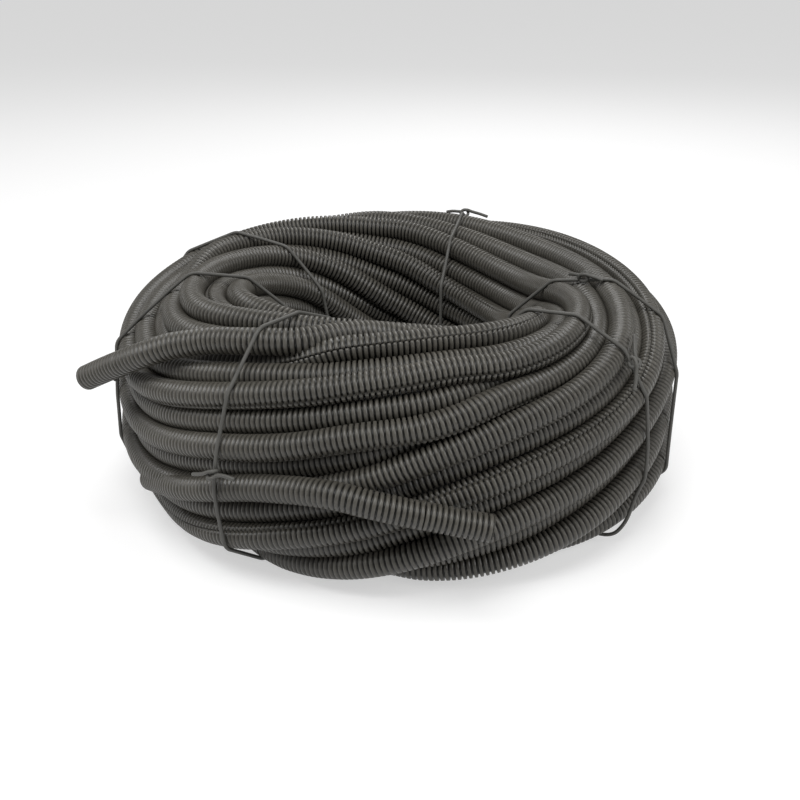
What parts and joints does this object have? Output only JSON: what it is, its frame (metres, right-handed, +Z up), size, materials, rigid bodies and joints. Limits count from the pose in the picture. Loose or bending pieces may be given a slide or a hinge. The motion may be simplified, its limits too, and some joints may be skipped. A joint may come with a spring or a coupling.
{
  "type": "corrugated conduit coil",
  "caption": "Slit corrugated plastic conduit wound as a flat-lying coil with two open free ends, held by knotted string ties round its section.",
  "frame": {"origin": "on the coil's axis, at the floor that the coil lies on", "axes": "+Z up along the coil's axis, -Y towards the side where the front free end lies, +X the way that end points"},
  "size_m": [0.4885, 0.5004, 0.195],
  "materials": {
    "conduit": "charcoal polyethylene, satin on the ridges, darker in the grooves",
    "string": "dark grey extruded plastic string, dull"
  },
  "bodies": {
    "root": {"conduit": "conduit", "tie_1": "string", "tie_2": "string", "tie_3": "string", "tie_4": "string", "tie_5": "string", "tie_6": "string"}
  },
  "joints": []
}
